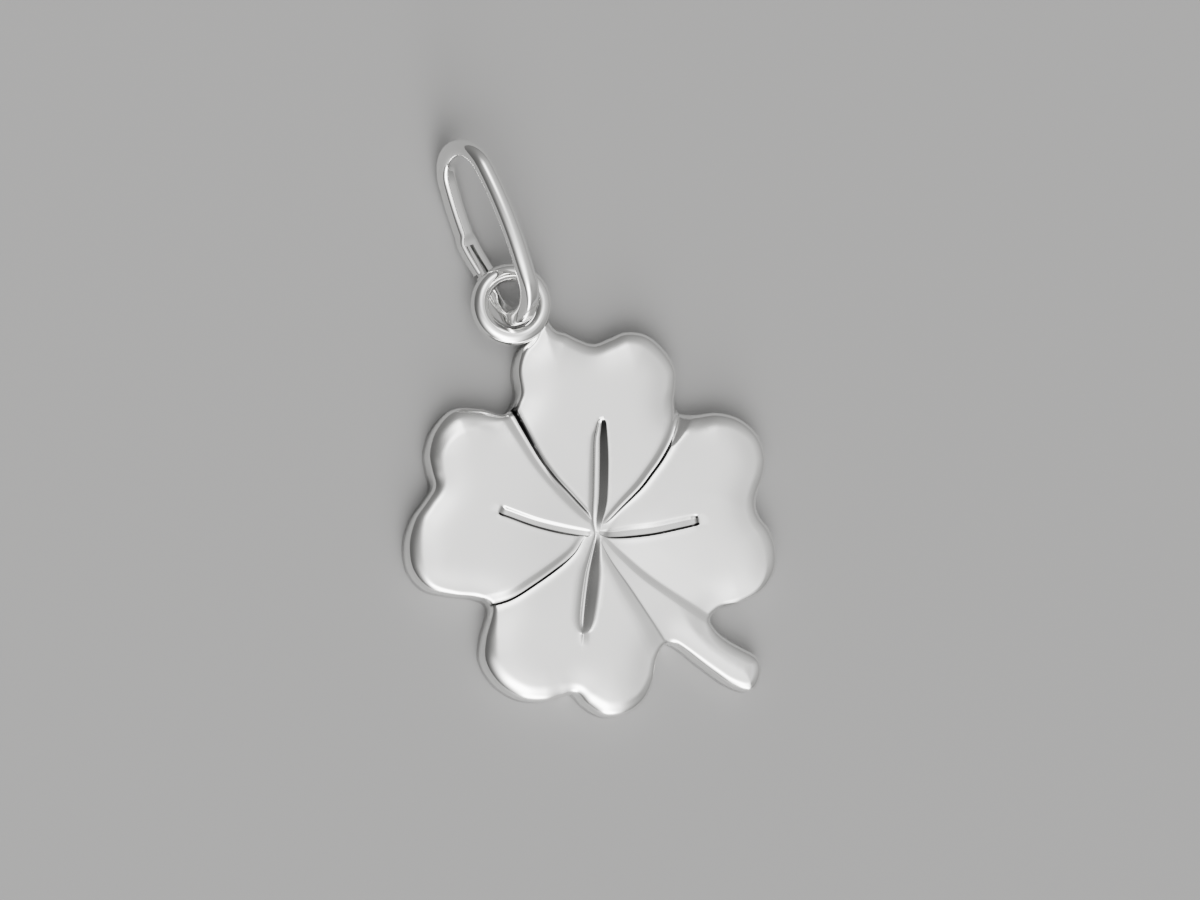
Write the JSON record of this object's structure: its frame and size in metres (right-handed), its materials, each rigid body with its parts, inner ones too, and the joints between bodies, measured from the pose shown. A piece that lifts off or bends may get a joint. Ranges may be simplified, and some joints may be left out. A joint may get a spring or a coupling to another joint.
{
  "type": "four leaf clover pendant",
  "caption": "Small cast clover pendant with heart-shaped veined leaves, a curved stem, a soldered wire eyelet and an oval wire bail that a chain passes through.",
  "frame": {"origin": "centre of the clover's flat back, under the point where its veins meet", "axes": "+Y from the clover's centre to the eyelet and bail, +Z out of the front face, +X to the wearer's left as seen from the front"},
  "size_m": [0.0154, 0.0249, 0.0037],
  "materials": {
    "silver": "polished sterling silver"
  },
  "bodies": {
    "root": {"clover": "silver", "bail_ring": "silver"}
  },
  "joints": []
}
